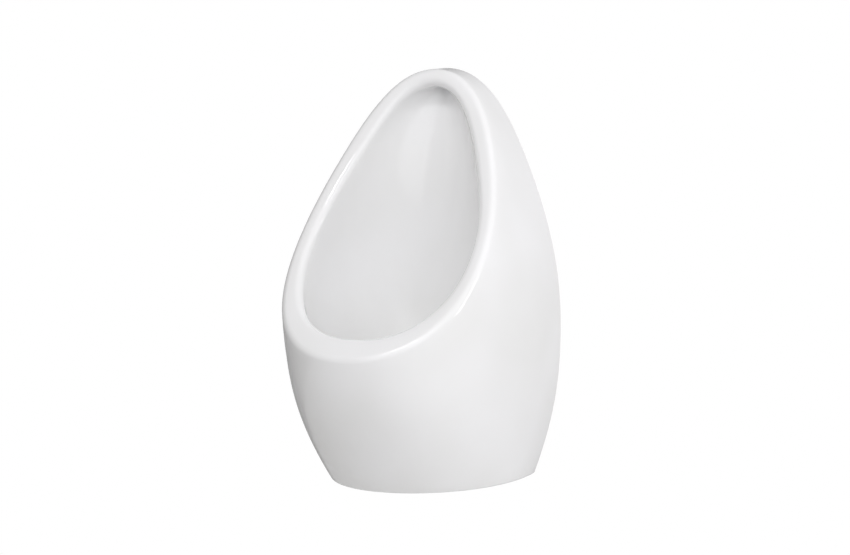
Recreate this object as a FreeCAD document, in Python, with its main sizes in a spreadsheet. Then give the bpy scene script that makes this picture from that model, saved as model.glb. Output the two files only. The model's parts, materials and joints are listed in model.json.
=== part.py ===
# A wall hung urinal: a slip-cast vitreous china shell with a long slanted oval opening, hung on two
# pressed steel hooks, with a flush inlet in its top ledge and a bottle trap hidden in its skirt.
#
# Millimetres. X is to the viewer's right, Y runs into the wall and Z is up. The origin is the middle
# of the wall face at the level of the base, so heights are heights above the base.

import FreeCAD, Part
import math
import os
import Sketcher
from FreeCAD import Placement, Rotation, Vector

# ---------------------------------------------------------------------------------------------
# Driving dimensions
# ---------------------------------------------------------------------------------------------

DRIVING = [
    # the shell's outer form: half width at the wall and depth from the wall, at levels going up
    ("body_height", 600, "base to crown"),
    ("fullness", 0.645, "share of a corner that a plan section fills, 0.5523 being an ellipse"),
    ("level_one", 90, "height of the second level"),
    ("level_two", 200, "height of the third level"),
    ("level_three", 320, "height of the fourth level"),
    ("level_four", 470, "height of the fifth level"),
    ("base_half_width", 142, "half width of the base at the wall"),
    ("base_swell", 18, "how far the base's plan curve is drawn out past that half width"),
    ("base_fullness", 0.55, "share of a corner that the base's plan curve fills"),
    ("half_width_one", 176, "half width at level one"),
    ("half_width_two", 187, "half width at level two"),
    ("half_width_three", 181, "half width at level three"),
    ("half_width_four", 134, "half width at level four"),
    ("crown_half_width", 63, "half width that rounds the crown"),
    ("base_depth", 235, "depth of the base"),
    ("depth_one", 315, "depth at level one"),
    ("depth_two", 353, "depth at level two"),
    ("depth_three", 381, "depth at level three, before the opening is cut"),
    ("depth_four", 396, "depth from level four up, before the opening is cut"),
    # the slanted opening, seen from the side as one parabola from lip to crown
    ("lip_depth", 348, "wall to the front lip"),
    ("lip_height", 211, "height of the front lip's outer edge"),
    ("sag_depth", 143, "depth of the point that the rim's curve sags towards"),
    ("sag_height", 365, "height of that point"),
    ("crown_depth", 47, "depth of the rim at the crown"),
    ("rim_outer_radius", 12, "rounding of the rim's outer edge"),
    ("rim_inner_radius", 11, "rounding of the rim's inner edge"),
    ("base_edge_radius", 5, "rounding of the base's outer edge"),
    # the bowl: half width, back and front at levels going up from the outlet
    ("floor_height", 161, "height of the bowl's floor"),
    ("waste_depth", 150, "wall to the outlet's axis"),
    ("floor_seat_radius", 44, "flat seat round the outlet"),
    ("floor_rise_one", 2, "rise of the floor's first level"),
    ("floor_rise_two", 11, "rise of the floor's second level"),
    ("bowl_level_three", 232, "height of the bowl's third level"),
    ("bowl_level_four", 330, "height of the bowl's fourth level"),
    ("bowl_level_five", 470, "height of the bowl's fifth level"),
    ("ledge_thickness", 26, "crown to the bowl's ceiling"),
    ("bowl_half_width_one", 84, "half width of the bowl's first level"),
    ("bowl_half_width_two", 105, "half width of the bowl's second level"),
    ("bowl_half_width_three", 113, "half width of the bowl's third level"),
    ("bowl_half_width_four", 133, "half width of the bowl's fourth level"),
    ("bowl_half_width_five", 116, "half width of the bowl's fifth level"),
    ("ceiling_half_width", 71, "half width that rounds the bowl's ceiling"),
    ("bowl_back", 43, "wall to the back of the bowl"),
    ("bowl_back_one", 65, "wall to the back of the bowl at its first level"),
    ("bowl_back_two", 54, "wall to the back of the bowl at its second level"),
    ("ceiling_back", 12, "wall to the back of the bowl under the ledge"),
    ("bowl_front_one", 240, "wall to the bowl's front at its first level"),
    ("bowl_front_two", 292, "wall to the bowl's front at its second level"),
    ("bowl_front_three", 311, "wall to the bowl's front at its third level"),
    ("bowl_front_four", 338, "wall to the bowl's front at its fourth level"),
    ("bowl_front_five", 372, "wall to the bowl's front above that, before the opening is cut"),
    # the casting's walls and its service space
    ("cast_wall", 12, "thickness of the casting's walls"),
    ("rim_solid", 20, "solid china behind the rim's face, along Y and along Z"),
    ("wall_flange_width", 26, "width of the flange that meets the wall"),
    ("wall_flange_thickness", 14, "thickness of that flange"),
    ("base_flange_width", 32, "width of the flange round the base opening"),
    ("service_top", 420, "height of the top of the space behind the bowl"),
    ("rail_height", 38, "height of the rail across the back of the base"),
    # flush inlet
    ("inlet_depth", 26, "wall to the inlet's axis"),
    ("inlet_radius", 14, "inlet bore"),
    ("inlet_bore_depth", 18, "depth of the inlet bore"),
    ("nozzle_hole_radius", 9, "hole from the inlet bore through the ledge"),
    ("inlet_seal_top", 2, "crown to the seal's top"),
    ("flush_pipe_radius", 8.8, "bore of the seal, for an 18 mm flush pipe"),
    ("inlet_seal_bevel", 1.2, "bevel of the seal's mouth"),
    ("nozzle_flange", 2.5, "thickness of the nozzle's flange"),
    ("nozzle_slot_length", 11, "length of the nozzle's fan slot"),
    ("nozzle_slot_width", 3, "width of the nozzle's fan slot"),
    ("nozzle_slot_back", 3, "nozzle's axis to its fan slot"),
    # waste
    ("outlet_hole_gap", 3.5, "gap between the waste's tail and the hole in the bowl's floor"),
    ("tail_radius", 23.5, "outside of the waste's tail"),
    ("tail_wall", 3, "wall of the waste's tail"),
    ("tail_length", 46, "tail from under its flange to its end"),
    ("waste_flange_width", 7.5, "dish to the outside of the waste's flange"),
    ("waste_seal", 2, "thickness of the seal above the bowl's floor"),
    ("under_seal", 3, "thickness of the seal below the bowl's floor"),
    ("waste_seal_inset", 1, "edge of the waste's flange to the edge of the seal above the floor"),
    ("dish_ledge", 7, "tail to the side of the dish that holds the strainer"),
    ("dish_floor", 2, "thickness of the dish's floor"),
    ("dish_rim", 3, "height of the dish's rim above its floor"),
    ("dish_bevel", 2, "bevel of the dish's rim"),
    ("backnut_wall", 7.5, "tail to the backnut's flats"),
    ("backnut_height", 9, "height of the backnut"),
    # strainer
    ("strainer_gap", 0.4, "gap round the strainer in its dish"),
    ("strainer_thickness", 2, "thickness of the strainer"),
    ("strainer_rim_width", 4, "flat rim of the strainer"),
    ("strainer_rise", 4.6, "rise of its dome"),
    ("strainer_hole_radius", 2.5, "its holes"),
    ("strainer_ring_one", 9.5, "radius of its inner ring of holes"),
    ("strainer_ring_two", 18.5, "radius of its outer ring of holes"),
    # trap
    ("trap_wall", 3.5, "wall of the trap's chamber"),
    ("chamber_radius", 38, "outside of the chamber"),
    ("chamber_bottom", 40, "height of the chamber's lower end"),
    ("trap_gap", 2, "gap between the backnut and the inlet's union nut"),
    ("socket_wall", 4, "wall of the inlet socket"),
    ("socket_height", 15, "inlet socket above the chamber"),
    ("socket_gap", 0.5, "gap between a pipe and its socket"),
    ("dip_radius", 19, "outside of the dip tube"),
    ("dip_wall", 2.5, "wall of the dip tube"),
    ("dip_bottom", 22, "height of the dip tube's lower end"),
    ("arm_height", 90, "height of the outlet arm's axis"),
    ("arm_radius", 20, "outside of the outlet arm and the outlet pipe"),
    ("arm_wall", 3, "wall of the outlet arm"),
    ("arm_length", 58, "trap's axis to the arm's socket"),
    ("arm_socket_length", 22, "length of the arm's socket"),
    ("arm_socket_wall", 3.5, "wall of the arm's socket"),
    ("thread_depth", 3, "thread's outside past the chamber's"),
    ("thread_height", 16, "height of the chamber's thread"),
    ("cup_step", 2.7, "chamber's outside past the cup's"),
    ("cup_wall", 3, "wall of the cup"),
    ("cup_bottom", 10, "height of the cup's underside"),
    ("cup_edge_radius", 6, "rounding of the cup's underside"),
    ("cup_flange_gap", 0.5, "gap between the cup's flange and its ring"),
    ("cup_flange", 4, "thickness of the cup's flange"),
    ("cup_seal", 2, "thickness of the cup's seal"),
    ("running_gap", 0.3, "gap between pieces that move past each other"),
    ("fit_gap", 0.1, "gap round a pipe or screw that is held"),
    ("ring_lip", 3.5, "thickness of the cup ring's lip"),
    ("ring_height", 23.5, "height of the cup ring"),
    ("ring_wall", 5.2, "wall of the cup ring"),
    ("grip_radius", 2.4, "radius of a grip flute"),
    ("grip_bite", 1.2, "depth of a grip flute"),
    ("union_nut_wall", 4.7, "wall of the inlet's union nut"),
    ("outlet_nut_wall", 5.2, "wall of the outlet's union nut"),
    ("nut_web", 3.5, "thickness of a union nut's web"),
    ("nut_skirt", 17, "length of a union nut's skirt"),
    ("nut_gap", 0.3, "gap between a nut and its socket's thread"),
    ("cone_seal", 3.5, "thickness of a union's seal"),
    ("pipe_wall", 2.2, "wall of the outlet pipe"),
    ("pipe_insertion", 18, "pipe in the arm's socket"),
    ("pipe_beyond_wall", 35, "pipe past the wall face"),
    ("bead_height", 2, "height of the bead that stops the pipe at the wall"),
    ("bead_width", 3, "width of the bead and thickness of the wall seal's collar"),
    ("wall_seal_collar", 10, "bead to the outside of the wall seal's collar"),
    ("wall_seal_sleeve", 5, "pipe to the outside of the wall seal's sleeve"),
    ("wall_seal_length", 14, "length of the wall seal"),
    # hanging
    ("hanger_spacing", 130, "between the two hooks"),
    ("hanger_height", 490, "height of the china that rests on a hook"),
    ("pocket_side_gap", 4, "gap each side of a hook in its pocket"),
    ("pocket_end_gap", 1, "gap below and above a hook in its pocket"),
    ("pocket_front_gap", 7, "gap in front of a hook in its pocket"),
    ("pocket_lip_gap", 4, "gap between the hook's lip and the china that it holds"),
    ("hook_width", 34, "width of a hook"),
    ("hook_steel", 3, "thickness of its steel"),
    ("hook_height", 50, "height of its plate"),
    ("hook_reach", 17, "wall to the front of its lip"),
    ("hook_lip", 13, "height of its lip above its tongue"),
    ("hook_bend", 2, "inside radius of its bends"),
    ("pad_thickness", 3, "thickness of the pad on its tongue"),
    ("hanger_screw_drop", 30, "china's seat to the hanger screw"),
    # wall fixings
    ("lower_spacing", 140, "between the two lower fixings"),
    ("lower_fixing_height", 20, "height of the lower fixings"),
    ("sleeve_wall", 2, "wall of a lower fixing's sleeve"),
    ("sleeve_flange_width", 3.5, "sleeve's hole to the outside of the sleeve's flange"),
    ("sleeve_flange", 2, "thickness of its flange"),
    ("screw_radius", 3.9, "shank of a wall screw"),
    ("screw_gap", 0.3, "gap round a wall screw's shank"),
    ("screw_flats", 13, "across a screw head's flats"),
    ("screw_head", 5.5, "height of a screw's head"),
    ("screw_beyond_wall", 46, "screw past the wall face"),
    ("screw_point", 5, "length of a screw's point"),
    ("screw_tip_radius", 1, "radius of its tip"),
    ("washer_radius", 8.5, "outside of a washer"),
    ("washer_thickness", 1.6, "thickness of a washer"),
    ("plug_wall", 2, "wall of a wall plug"),
    ("plug_end", 3.7, "thickness of a wall plug's closed end"),
]

STRAINER_HOLES_ONE = 6
STRAINER_HOLES_TWO = 12
GRIPS_OF_RING = 24
GRIPS_OF_NUT = 12
HEXAGON_CORNER = 1 / math.cos(math.radians(30))
LEFT = 1
RIGHT = -1
THROUGH = 3  # a cut made both ways, this many times as long as the piece, goes right through it


class Length:
    """A length that keeps the spreadsheet expression that it comes from."""

    def __init__(self, value, text):
        self.value = float(value)
        self.text = text

    def __float__(self):
        return self.value

    def __add__(self, other):
        return Length(self.value + float(other), f"({self.text} + {text_of(other)})")

    def __sub__(self, other):
        return Length(self.value - float(other), f"({self.text} - {text_of(other)})")

    def __rsub__(self, other):
        return Length(float(other) - self.value, f"({text_of(other)} - {self.text})")

    def __mul__(self, other):
        return Length(self.value * float(other), f"({self.text} * {text_of(other)})")

    def __truediv__(self, other):
        return Length(self.value / float(other), f"({self.text} / {text_of(other)})")

    def __neg__(self):
        return Length(-self.value, f"(-{self.text})")

    __radd__ = __add__
    __rmul__ = __mul__


def text_of(number):
    return number.text if isinstance(number, Length) else str(float(number))


class Sizes:
    """The driving dimensions, each by its name."""

    def __init__(self, sheet):
        for row, (name, value, meaning) in enumerate(DRIVING, start=1):
            sheet.set(f"A{row}", meaning)
            sheet.set(f"B{row}", str(value))
            sheet.setAlias(f"B{row}", name)
            setattr(self, name, Length(value, f"{sheet.Name}.{name}"))


document = FreeCAD.newDocument("Urinal")
size = Sizes(document.addObject("Spreadsheet::Sheet", "Size"))
document.recompute()

# Places that several pieces share.
UNDERSIDE = size.floor_height - size.cast_wall
BACKNUT_TOP = UNDERSIDE - size.under_seal
FLANGE_UNDERSIDE = size.floor_height + size.waste_seal
DISH_FLOOR = FLANGE_UNDERSIDE + size.dish_floor
BACKNUT_UNDERSIDE = BACKNUT_TOP - size.backnut_height
SOCKET_TOP = BACKNUT_UNDERSIDE - size.trap_gap - size.nut_web - size.cone_seal
CHAMBER_TOP = SOCKET_TOP - size.socket_height
TAIL_BORE = size.tail_radius - size.tail_wall
DISH_RADIUS = size.tail_radius + size.dish_ledge
WASTE_FLANGE_RADIUS = DISH_RADIUS + size.waste_flange_width
SOCKET_BORE = size.tail_radius + size.socket_gap
SOCKET_RADIUS = SOCKET_BORE + size.socket_wall
ARM_SOCKET_RADIUS = size.arm_radius + size.socket_gap + size.arm_socket_wall
CHAMBER_BORE = size.chamber_radius - size.trap_wall
THREAD_RADIUS = size.chamber_radius + size.thread_depth
CUP_RADIUS = size.chamber_radius - size.cup_step
CUP_BORE = CUP_RADIUS - size.cup_wall
CUP_TOP = size.chamber_bottom - size.cup_seal
RING_BORE = THREAD_RADIUS + size.running_gap
CUP_FLANGE_RADIUS = RING_BORE - size.cup_flange_gap
RING_BOTTOM = CUP_TOP - size.cup_flange - size.ring_lip
ARM_END = size.waste_depth - size.arm_length - size.arm_socket_length
HOOK_TOP = size.hanger_height - size.pad_thickness
POCKET_LIP = size.hook_reach - size.hook_steel - size.pocket_lip_gap
SLEEVE_HOLE_RADIUS = size.screw_radius + size.screw_gap + size.sleeve_wall + size.running_gap
SEAL_TOP = size.body_height - size.inlet_seal_top
INLET_FLOOR = size.body_height - size.inlet_bore_depth
CEILING = size.body_height - size.ledge_thickness


# ---------------------------------------------------------------------------------------------
# Ways of making a piece
# ---------------------------------------------------------------------------------------------


def bind(feature, **lengths):
    """Ties properties of a feature to the spreadsheet."""
    for name, value in lengths.items():
        setattr(feature, name, float(value))
        feature.setExpression(name, text_of(value))


def place(piece, x=0, y=0, z=0, rotation=Rotation()):
    """Puts a piece at a point whose coordinates stay tied to the spreadsheet."""
    piece.Placement = Placement(Vector(float(x), float(y), float(z)), rotation)
    for axis, value in (("x", x), ("y", y), ("z", z)):
        if isinstance(value, Length):
            piece.setExpression(f"Placement.Base.{axis}", value.text)


def new_sketch(body, plane, offset=0):
    """A sketch on one of the body's own planes, or parallel to it."""
    sketch = body.newObject("Sketcher::SketchObject", body.Name + "_sketch")
    support = next(part for part in body.Origin.OriginFeatures if part.Role == plane)
    sketch.AttachmentSupport = [(support, "")]
    sketch.MapMode = "FlatFace"
    sketch.AttachmentOffset = Placement(Vector(0, 0, float(offset)), Rotation())
    if isinstance(offset, Length):
        sketch.setExpression("AttachmentOffset.Base.z", offset.text)
    return sketch


def hold(sketch, kind, items, value):
    """Adds one dimension to a sketch, tied to the spreadsheet where it is a Length."""
    number = sketch.addConstraint(Sketcher.Constraint(kind, *items, float(value)))
    if isinstance(value, Length):
        sketch.setExpression(f"Constraints[{number}]", value.text)


def hold_point(sketch, shape, end, x, y):
    hold(sketch, "DistanceX", (shape, end), x)
    hold(sketch, "DistanceY", (shape, end), y)


def draw_outline(sketch, corners):
    """A closed outline. A corner is (x, y), or (x, y, radius, side) where an arc leads on to the
    next corner, bulging to the LEFT or RIGHT of the way that it is walked."""
    count = len(corners)
    points = [Vector(float(corner[0]), float(corner[1]), 0) for corner in corners]
    for index, corner in enumerate(corners):
        start = points[index]
        end = points[(index + 1) % count]
        if len(corner) == 4:
            chord = end - start
            middle = (start + end) / 2
            radius = float(corner[2])
            rise = radius - math.sqrt(radius**2 - (chord.Length / 2) ** 2)
            left = Vector(-chord.y, chord.x, 0).normalize()
            sketch.addGeometry(Part.Arc(start, middle + left * rise * corner[3], end), False)
        else:
            sketch.addGeometry(Part.LineSegment(start, end), False)
    for index, corner in enumerate(corners):
        if len(corner) == 4:
            hold(sketch, "Radius", (index,), corner[2])
    starts = [corner_end(sketch, index, point) for index, point in enumerate(points)]
    for index, corner in enumerate(corners):
        following = (index + 1) % count
        end = 3 - starts[index]
        sketch.addConstraint(
            Sketcher.Constraint("Coincident", index, end, following, starts[following])
        )
        hold_point(sketch, index, starts[index], corner[0], corner[1])
    return sketch


def corner_end(sketch, index, point):
    """Which end of an edge lies on the point: an arc may be stored from its other end."""
    return 1 if (sketch.getPoint(index, 1) - point).Length < 1e-6 else 2


def draw_circle(sketch, x, y, radius):
    circle = Part.Circle(Vector(float(x), float(y), 0), Vector(0, 0, 1), float(radius))
    number = sketch.addGeometry(circle, False)
    hold_point(sketch, number, 3, x, y)
    hold(sketch, "Radius", (number,), radius)
    return sketch


def turn(body, corners):
    """Adds what an outline (radius, height) sweeps about the body's own upright axis."""
    feature = body.newObject("PartDesign::Revolution", body.Name + "_turned")
    feature.Profile = draw_outline(new_sketch(body, "XZ_Plane"), corners)
    feature.ReferenceAxis = (feature.Profile[0], ["V_Axis"])
    feature.Angle = 360
    return feature


def groove(body, corners):
    """Takes away what an outline (radius, height) sweeps about the body's own upright axis."""
    feature = body.newObject("PartDesign::Groove", body.Name + "_groove")
    feature.Profile = draw_outline(new_sketch(body, "XZ_Plane"), corners)
    feature.ReferenceAxis = (feature.Profile[0], ["V_Axis"])
    feature.Angle = 360
    return feature


def pad(body, sketch, length, both_ways=False, backwards=False):
    feature = body.newObject("PartDesign::Pad", body.Name + "_pad")
    feature.Profile = sketch
    feature.Midplane = both_ways
    feature.Reversed = backwards
    bind(feature, Length=length)
    return feature


def pocket(body, sketch, length, both_ways=False, backwards=False):
    feature = body.newObject("PartDesign::Pocket", body.Name + "_pocket")
    feature.Profile = sketch
    feature.Midplane = both_ways
    feature.Reversed = backwards
    bind(feature, Length=length)
    return feature


def repeat_round(body, feature, count):
    """Repeats a feature evenly about the body's own upright axis."""
    pattern = body.newObject("PartDesign::PolarPattern", body.Name + "_pattern")
    pattern.Originals = [feature]
    pattern.Axis = (feature.Profile[0], ["N_Axis"])
    pattern.Angle = 360
    pattern.Occurrences = count
    body.Tip = pattern
    return pattern


def new_body(label):
    return document.addObject("PartDesign::Body", label)


TOWARDS_WALL = Rotation(Vector(1, 0, 0), -90)


def turned_piece(label, corners, x=0, y=0, z=0, rotation=Rotation()):
    """A piece turned from one outline."""
    body = new_body(label)
    turn(body, corners)
    place(body, x, y, z, rotation)
    return body


def ring(label, bore, radius, bottom, top, y):
    """A flat ring about an upright axis at depth y."""
    return turned_piece(label, [(bore, bottom), (radius, bottom), (radius, top), (bore, top)], y=-y)


def hexagon(sketch, flats):
    """A hexagon across the given flats."""
    reach = flats * (HEXAGON_CORNER / 2)
    corners = [
        (reach * math.cos(math.radians(60 * corner)), reach * math.sin(math.radians(60 * corner)))
        for corner in range(6)
    ]
    return draw_outline(sketch, corners)


def pair(label, right):
    """A node of two alike pieces, one mirrored across the middle plane."""
    left = mirrored(label + "_left_one", right)
    both = document.addObject("Part::Compound", label)
    both.Links = [right, left]
    return both


def mirrored(label, right):
    left = document.addObject("Part::Mirroring", label)
    left.Source = right
    left.Base = Vector(0, 0, 0)
    left.Normal = Vector(1, 0, 0)
    return left


# ---------------------------------------------------------------------------------------------
# The china shell: free-form skins, then its openings and its rim
# ---------------------------------------------------------------------------------------------

CHINA_REACH = 1000.0  # past the shell on every side, for the blocks that limit a cut
PAST = 2.0  # how far a cut runs on past the face that it leaves by
FLUSH = 1e-6  # how near a plane a point lies that is taken as on it
SEAM = 1e-4  # widest seam that sewing closes


def skin(rows, knots, multiplicities):
    """A smooth skin whose poles are given row by row, going up."""
    spans = len(rows) - 3
    surface = Part.BSplineSurface()
    surface.buildFromPolesMultsKnots(
        [[row[column] for row in rows] for column in range(len(rows[0]))],
        multiplicities,
        [4] + [1] * (spans - 1) + [4],
        knots,
        [index / spans for index in range(spans + 1)],
        False,
        False,
        3,
        3,
    )
    return surface.toShape()


def lies_on(edge, axis, value):
    """Whether an edge lies on the plane where a coordinate has the given value."""
    return all(abs(getattr(point, axis) - value) < FLUSH for point in edge.discretize(5))


def closed_by(faces, boundaries):
    """The solid that the faces make with flat faces in the boundaries' wires."""
    caps = [Part.Face(Part.Wire(Part.__sortEdges__(edges))) for edges in boundaries]
    shell = Part.makeCompound(faces + caps)
    shell.sewShape(SEAM)
    return Part.Solid(shell.Shells[0])


def outer_form(inset=0):
    """The shell's outer form, whole, before its opening is cut, or the form that lies inset from it.
    Each row is half of a D, from the wall to the front. The last two rows round the crown."""
    crown = float(size.body_height) - inset
    full = size.fullness
    levels = [
        (0, size.base_half_width, size.base_swell, size.base_depth, size.base_fullness),
        (size.level_one, size.half_width_one, 0, size.depth_one, full),
        (size.level_two, size.half_width_two, 0, size.depth_two, full),
        (size.level_three, size.half_width_three, 0, size.depth_three, full),
        (size.level_four, size.half_width_four, 0, size.depth_four, full),
        (crown, size.crown_half_width, 0, size.depth_four, full),
        (crown, inset, 0, size.depth_four, full),
    ]
    rows = []
    for height, half_width, swell, depth, share in levels:
        height = float(height)
        share = float(share)
        wide = float(half_width) - inset
        drawn = wide + float(swell)
        deep = float(depth) - inset
        rows.append(
            [
                Vector(wide, 0, height),
                Vector(drawn, -share * deep, height),
                Vector(share * drawn, -deep, height),
                Vector(0, -deep, height),
            ]
        )
    right = skin(rows, [0, 1], [4, 4])
    left = right.mirror(Vector(0, 0, 0), Vector(1, 0, 0))
    edges = right.Edges + left.Edges
    back = [edge for edge in edges if lies_on(edge, "y", 0)]
    base = [edge for edge in edges if lies_on(edge, "z", 0)]
    hem = Part.makeLine(rows[0][0], Vector(-rows[0][0].x, 0, 0))
    return closed_by([right, left], [back + [hem], base + [hem]])


def bowl_form(outset=0):
    """The bowl's hollow, or the form that lies outset from it: ovals from the outlet's seat up to
    the ceiling under the ledge. It runs on past the opening, which cuts it off."""
    full = float(size.fullness)
    floor = float(size.floor_height) - outset
    ceiling = float(CEILING) + outset
    seat = float(size.floor_seat_radius)
    axis = float(size.waste_depth)
    back = float(size.bowl_back)
    levels = [
        (floor, seat - outset, axis - seat + outset, axis + seat - outset),
        (
            floor + float(size.floor_rise_one),
            size.bowl_half_width_one,
            size.bowl_back_one,
            size.bowl_front_one,
        ),
        (
            floor + float(size.floor_rise_two),
            size.bowl_half_width_two,
            size.bowl_back_two,
            size.bowl_front_two,
        ),
        (size.bowl_level_three, size.bowl_half_width_three, back, size.bowl_front_three),
        (size.bowl_level_four, size.bowl_half_width_four, back, size.bowl_front_four),
        (size.bowl_level_five, size.bowl_half_width_five, back, size.bowl_front_five),
        (ceiling, size.ceiling_half_width, size.ceiling_back, size.bowl_front_five),
        (ceiling, -outset, size.ceiling_back, size.bowl_front_five),
    ]
    rows = []
    for height, half_width, near, far in levels:
        height = float(height)
        wide = float(half_width) + outset
        near = float(near) - outset
        far = float(far) + outset
        shoulder = (1 - full) * (far - near) / 2
        rows.append(
            [
                Vector(0, -near, height),
                Vector(full * wide, -near, height),
                Vector(wide, -near - shoulder, height),
                Vector(wide, -far + shoulder, height),
                Vector(full * wide, -far, height),
                Vector(0, -far, height),
            ]
        )
    right = skin(rows, [0, 0.5, 1], [4, 2, 4])
    left = right.mirror(Vector(0, 0, 0), Vector(1, 0, 0))
    seat_edges = [edge for edge in right.Edges + left.Edges if lies_on(edge, "z", floor)]
    return closed_by([right, left], [seat_edges])


def rim_blossom(first, second):
    """The side view's parabola, as the blossom of its three poles: with both arguments alike it is
    a point of the curve, and with the ends of a stretch it is that stretch's middle pole."""
    poles = [
        (size.lip_depth, size.lip_height),
        (size.sag_depth, size.sag_height),
        (size.crown_depth, size.body_height),
    ]
    shares = [
        (1 - first) * (1 - second),
        (1 - first) * second + first * (1 - second),
        first * second,
    ]
    depth = sum(share * float(pole[0]) for share, pole in zip(shares, poles))
    height = sum(share * float(pole[1]) for share, pole in zip(shares, poles))
    return Vector(0, -depth, height)


RIM_RUN_ON = (-0.3, 1.25)  # the parabola's parameters past the lip and past the crown
RIM_STEPS = 400  # points along the rim's curve that edges are compared with
NEAR_RIM = 3.0  # how near the rim's curve an edge of the rim lies
SAME_SPOT = 0.01  # two edges whose middles lie nearer than this are one edge


def opening_block(behind=0):
    """All that lies in front of the rim's face, or of the face that lies behind it by an amount."""
    low, high = RIM_RUN_ON
    shift = Vector(-CHINA_REACH / 2, behind, -behind)
    lower = rim_blossom(low, low) + shift
    middle = rim_blossom(low, high) + shift
    upper = rim_blossom(high, high) + shift
    curve = Part.BezierCurve()
    curve.setPoles([lower, middle, upper])
    corner = Vector(lower.x, lower.y, upper.z)
    sides = [curve.toShape(), Part.makeLine(upper, corner), Part.makeLine(corner, lower)]
    return Part.Face(Part.Wire(sides)).extrude(Vector(CHINA_REACH, 0, 0))


def block(low_y, high_y, low_z, high_z):
    """A block right across the shell between two depths and two heights."""
    corner = Vector(-CHINA_REACH / 2, low_y, low_z)
    return Part.makeBox(CHINA_REACH, high_y - low_y, high_z - low_z, corner)


def on_rim(edge):
    """Whether an edge lies on the rim's face."""
    low, high = RIM_RUN_ON
    shares = [step / RIM_STEPS for step in range(RIM_STEPS + 1)]
    curve = [rim_blossom(low + (high - low) * t, low + (high - low) * t) for t in shares]
    return all(
        min((Vector(0, point.y, point.z) - spot).Length for spot in curve) < NEAR_RIM
        for point in edge.discretize(5)
    )


def middle_of(edge):
    return edge.valueAt((edge.FirstParameter + edge.LastParameter) / 2)


def china_form():
    """The casting, all but its drilled and moulded holes."""
    body = outer_form().cut(opening_block())
    outer_rim = [edge for edge in body.Edges if on_rim(edge)]
    body = body.makeFillet(float(size.rim_outer_radius), outer_rim)
    base_edge = [
        edge for edge in body.Edges if lies_on(edge, "z", 0) and not lies_on(edge, "y", 0)
    ]
    body = body.makeFillet(float(size.base_edge_radius), base_edge)
    before = [middle_of(edge) for edge in body.Edges]
    body = body.cut(bowl_form())
    inner_rim = [
        edge
        for edge in body.Edges
        if on_rim(edge) and all((middle_of(edge) - spot).Length > SAME_SPOT for spot in before)
    ]
    body = body.makeFillet(float(size.rim_inner_radius), inner_rim)

    wall = float(size.cast_wall)
    back = -float(size.wall_flange_thickness)
    top = float(size.service_top)
    service = outer_form(wall).common(block(-CHINA_REACH, back, wall, top))
    service = service.cut(bowl_form(wall)).cut(opening_block(float(size.rim_solid)))
    back_opening = outer_form(float(size.wall_flange_width)).common(
        block(back - PAST, PAST, float(size.rail_height), top)
    )
    base_opening = outer_form(float(size.base_flange_width)).common(
        block(-CHINA_REACH, back, -PAST, wall + PAST)
    )
    return body.cut(service).cut(back_opening).cut(base_opening)


def drilled(label, x, y, z, radius, length, rotation=Rotation()):
    cylinder = document.addObject("Part::Cylinder", label)
    bind(cylinder, Radius=radius, Height=length)
    place(cylinder, x, y, z, rotation)
    return cylinder


def box(label, width, depth, height, x, y, z):
    """A box whose x and y are its middle's and its rear face's."""
    shape = document.addObject("Part::Box", label)
    bind(shape, Length=width, Width=depth, Height=height)
    place(shape, x - width / 2, y - depth, z)
    return shape


def ceramic_body():
    """The slip-cast shell with its inlet, outlet, hanger pockets and lower fixing holes."""
    casting = document.addObject("Part::Feature", "casting")
    casting.Shape = china_form()
    holes = [
        drilled(
            "inlet_bore", 0, -size.inlet_depth, INLET_FLOOR,
            size.inlet_radius, size.inlet_bore_depth + PAST,
        ),
        drilled(
            "nozzle_hole", 0, -size.inlet_depth, CEILING - size.cast_wall,
            size.nozzle_hole_radius, size.ledge_thickness,
        ),
        drilled(
            "outlet_hole", 0, -size.waste_depth, UNDERSIDE - PAST,
            size.tail_radius + size.outlet_hole_gap, size.cast_wall + 2 * PAST,
        ),
    ]
    pocket_width = size.hook_width + size.pocket_side_gap * 2
    pocket_depth = size.hook_reach + size.pocket_front_gap
    pocket_foot = HOOK_TOP - size.hook_height - size.pocket_end_gap
    pocket_top = HOOK_TOP + size.hook_lip + size.pad_thickness + size.pocket_end_gap
    for side, sign in (("right", 1), ("left", -1)):
        pocket_x = size.hanger_spacing * (sign / 2)
        holes += [
            box(
                f"pocket_mouth_{side}",
                pocket_width, pocket_depth + PAST, size.hanger_height - pocket_foot,
                pocket_x, PAST, pocket_foot,
            ),
            box(
                f"pocket_undercut_{side}",
                pocket_width, pocket_depth - POCKET_LIP, pocket_top - size.hanger_height + PAST,
                pocket_x, -POCKET_LIP, size.hanger_height - PAST,
            ),
            drilled(
                f"lower_hole_{side}", size.lower_spacing * (sign / 2),
                -size.wall_flange_thickness - PAST, size.lower_fixing_height,
                SLEEVE_HOLE_RADIUS, size.wall_flange_thickness + 2 * PAST, TOWARDS_WALL,
            ),
        ]
    tools = document.addObject("Part::MultiFuse", "casting_holes")
    tools.Shapes = holes
    shell = document.addObject("Part::Cut", "ceramic_body")
    shell.Base = casting
    shell.Tool = tools
    return shell


# ---------------------------------------------------------------------------------------------
# Flush inlet
# ---------------------------------------------------------------------------------------------


def inlet_seal():
    """Rubber seal in the inlet bore that grips the flush pipe."""
    bottom = INLET_FLOOR + size.nozzle_flange
    outer = size.inlet_radius - size.running_gap
    bore = size.flush_pipe_radius
    return turned_piece(
        "inlet_seal",
        [
            (bore, bottom),
            (outer, bottom),
            (outer, SEAL_TOP),
            (bore + size.inlet_seal_bevel, SEAL_TOP),
            (bore, SEAL_TOP - size.inlet_seal_bevel),
        ],
        y=-size.inlet_depth,
    )


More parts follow.
